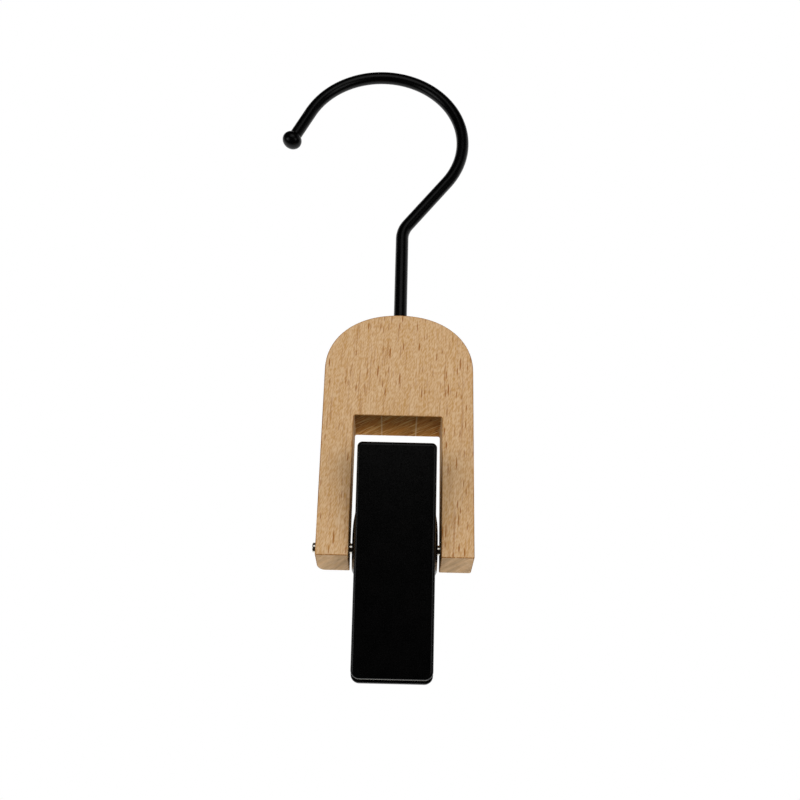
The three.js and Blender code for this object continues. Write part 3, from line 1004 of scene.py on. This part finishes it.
# Torsion spring: curls along the pin, and at each end an arm that turns square to its plate
spring = {  # mm
    "wire": 1.2,
    "gap": 0.55,
    "turns": 5,
    "pinGap": 0.5,
    "armHeight": 17,
    "foot": 3,
    "kneeRound": 1.6,  # where the arm turns into its foot
    "kneeSteps": 6,
    "restGap": 0.3,
    "curlSteps": 32,
    "wireSides": 6,  # Blender's bevel resolution
}


def rounded(start, corner, end):  # points that take the corner softly
    reach = spring["kneeRound"] * mm
    first = corner + (start - corner).normalized() * reach
    last = corner + (end - corner).normalized() * reach
    for step in range(spring["kneeSteps"] + 1):
        share = step / spring["kneeSteps"]
        yield first.lerp(corner, share).lerp(corner.lerp(last, share), share)


def springRoute():
    lean = math.radians(plate["lean"])
    pinLow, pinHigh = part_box("axle_pin")
    radius = (pinHigh.z - pinLow.z) / 2 + (spring["pinGap"] + spring["wire"] / 2) * mm
    bear = (plate["sheet"] + spring["restGap"] - plate["distance"]) * mm

    def leaned(y, z):
        return Vector((
            y * math.cos(lean) - z * math.sin(lean), y * math.sin(lean) + z * math.cos(lean),
        ))

    tip = leaned(bear, spring["armHeight"] * mm)
    knee = leaned(bear + spring["foot"] * mm, spring["armHeight"] * mm)
    leave = math.atan2(knee.y, knee.x) - math.acos(radius / knee.length)
    sweep = math.tau * spring["turns"] + 2 * (leave - math.pi / 2)
    half = (spring["wire"] + spring["gap"]) * mm * sweep / math.tau / 2
    steps = round(spring["curlSteps"] * sweep / math.tau)
    coilEdge = radius * Vector((math.cos(leave), math.sin(leave)))
    arm = [tip, *rounded(tip, knee, coilEdge)]
    points = [Vector((half, -place.x, place.y)) for place in arm]
    for step in range(steps + 1):
        share = step / steps
        angle = math.pi - leave + sweep * share
        around = (radius * math.cos(angle), radius * math.sin(angle))
        points.append(Vector((half * (1 - 2 * share), *around)))
    points += [Vector((-half, place.x, place.y)) for place in reversed(arm)]
    return [pinPoint + point for point in points], half


def makeSpring():
    points, half = springRoute()
    curve = bpy.data.curves.new("torsionSpring", "CURVE")
    curve.dimensions = "3D"
    curve.bevel_depth = spring["wire"] / 2 * mm
    curve.bevel_resolution = spring["wireSides"]
    curve.use_fill_caps = True
    line = curve.splines.new("POLY")
    line.points.add(len(points) - 1)
    for dot, point in zip(line.points, points):
        dot.co = (*point, 1)
    coil = bpy.data.objects.new("torsionSpring", curve)
    scene.collection.objects.link(coil)
    activate(coil)
    bpy.ops.object.convert(target="MESH")
    coil = bpy.context.object
    finishPiece(coil, springSteel, "torsion_spring")
    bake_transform(coil)


makeBlock()
print("block shaped")
makeHook()
makeBall()
print("hook drawn")
makePin()
makePlates()
makePad("frontJawPad", "front_jaw_pad", "clip_front", False)
makePad("backJawPad", "back_jaw_pad", "clip_back", True)
makeSpring()
print("clip assembled")

# Studio: white backdrop behind, a dim room on the camera's side, soft boxes round the hanger
studio = {
    "floorDrop": 400,  # mm below the jaws
    "floorSize": 12,  # m
    "floorColor": (0.9, 0.9, 0.9, 1),
    "sweep": (0.25, 1.2),  # m from the middle, where the floor runs out into the white
    "paleness": 0.5,  # how much of that white the floor has at its middle
    "fill": 0.14,
    "fillColor": (1, 0.92, 0.8, 1),  # shade on the wood stays warm
    "boxColor": (0.95, 1, 1.05),
    "room": 0.005,
    "backdrop": (0.1, 0.5),  # how far a direction points back, from room to backdrop
}
# Lamps, in degrees round and up, metres and watts. What isn't mirrored lights the wood and leaves the
# paint's reflections alone. The low box reaches the leg ends and, past the clip, the slot's top
lamps = {
    "frontBox": {"turn": (1, 20), "away": 0.9, "size": (0.6, 0.56), "power": 1.15, "mirrored": True},
    "rightBox": {"turn": (44, 12), "away": 1, "size": (0.7, 0.7), "power": 4.7, "mirrored": False},
    "leftBox": {"turn": (-46, 12), "away": 1, "size": (0.7, 0.7), "power": 4.05, "mirrored": False},
    "backBox": {"turn": (180, 35), "away": 1, "size": (0.8, 0.8), "power": 4, "mirrored": False},
    "lowBox": {"turn": (180, -25), "away": 0.6, "size": (0.6, 0.36), "power": 2, "mirrored": False},
    "rightCard": {"turn": (42, -12), "away": 0.6, "size": (0.27, 0.27), "power": 0.34, "mirrored": True},
    "leftCard": {"turn": (-64, -12), "away": 0.6, "size": (0.27, 0.27), "power": 0.5, "mirrored": True},
    "sideCard": {"turn": (90, 30), "away": 0.9, "size": (0.6, 0.6), "power": 0.56, "mirrored": True},
}


def makeFloor():
    clearSelection()
    floorZ = cadBox[0][2] - studio["floorDrop"] * mm
    bpy.ops.mesh.primitive_plane_add(size=studio["floorSize"], location=(0, 0, floorZ))
    floor = bpy.context.object
    floor.name = "floor"
    bpy.ops.object.transform_apply(location=True, rotation=True, scale=True)
    floor.visible_glossy = False
    material, tree = newMaterial("floorPaper")
    paper = addNode(tree, "ShaderNodeBsdfDiffuse", {"Color": studio["floorColor"]})
    white = addNode(tree, "ShaderNodeEmission", {"Color": (1, 1, 1, 1), "Strength": 1})
    place = addNode(tree, "ShaderNodeTexCoord").outputs["Object"]
    flat = addNode(tree, "ShaderNodeVectorMath", {
        0: place, 1: (1, 1, 0),
    }, operation="MULTIPLY").outputs[0]
    away = addNode(tree, "ShaderNodeVectorMath", {0: flat}, operation="LENGTH").outputs["Value"]
    seen = addNode(tree, "ShaderNodeLightPath").outputs["Is Camera Ray"]
    mix = addNode(tree, "ShaderNodeMixShader", {
        0: product(tree, seen, ranged(tree, away, *studio["sweep"], studio["paleness"])),
        1: paper.outputs[0], 2: white.outputs[0],
    })
    addNode(tree, "ShaderNodeOutputMaterial", {"Surface": mix.outputs[0]})
    floor.data.materials.append(material)


def makeWorld():
    world = bpy.data.worlds.new("studio")
    scene.world = world
    world.use_nodes = True
    world.cycles.sampling_method = "NONE"
    tree = world.node_tree
    tree.nodes.clear()
    path = addNode(tree, "ShaderNodeLightPath").outputs
    shiny = larger(tree, path["Is Glossy Ray"], path["Is Transmission Ray"])
    way = addNode(tree, "ShaderNodeTexCoord").outputs["Generated"]
    back = addNode(tree, "ShaderNodeSeparateXYZ", {"Vector": way}).outputs["Y"]
    mirrored = product(tree, shiny, ranged(tree, back, *studio["backdrop"]))
    seen = larger(tree, path["Is Camera Ray"], mirrored)
    soft = addNode(tree, "ShaderNodeBackground", {
        "Color": studio["fillColor"],
        "Strength": ranged(tree, shiny, 0, 1, studio["fill"], studio["room"]),
    })
    white = addNode(tree, "ShaderNodeBackground", {"Color": (1, 1, 1, 1), "Strength": 1})
    mix = addNode(tree, "ShaderNodeMixShader", {0: seen, 1: soft.outputs[0], 2: white.outputs[0]})
    addNode(tree, "ShaderNodeOutputWorld", {"Surface": mix.outputs[0]})


def addLamp(name, lamp):
    target = sum(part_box("wood_body"), Vector()) / 2
    azimuth, elevation = (math.radians(angle) for angle in lamp["turn"])
    way = Vector((
        math.sin(azimuth) * math.cos(elevation),
        -math.cos(azimuth) * math.cos(elevation),
        math.sin(elevation),
    ))
    bpy.ops.object.light_add(type="AREA", location=target + way * lamp["away"])
    light = bpy.context.object
    light.name = name
    light.data.shape = "RECTANGLE"
    light.data.size, light.data.size_y = lamp["size"]
    light.data.energy = lamp["power"]
    light.visible_glossy = lamp["mirrored"]
    if not lamp["mirrored"]:
        light.data.color = studio["boxColor"]
    light.visible_camera = False
    light.rotation_euler = way.to_track_quat("Z", "Y").to_euler()


makeFloor()
makeWorld()
for name, lamp in lamps.items():
    addLamp(name, lamp)
print("studio lit")
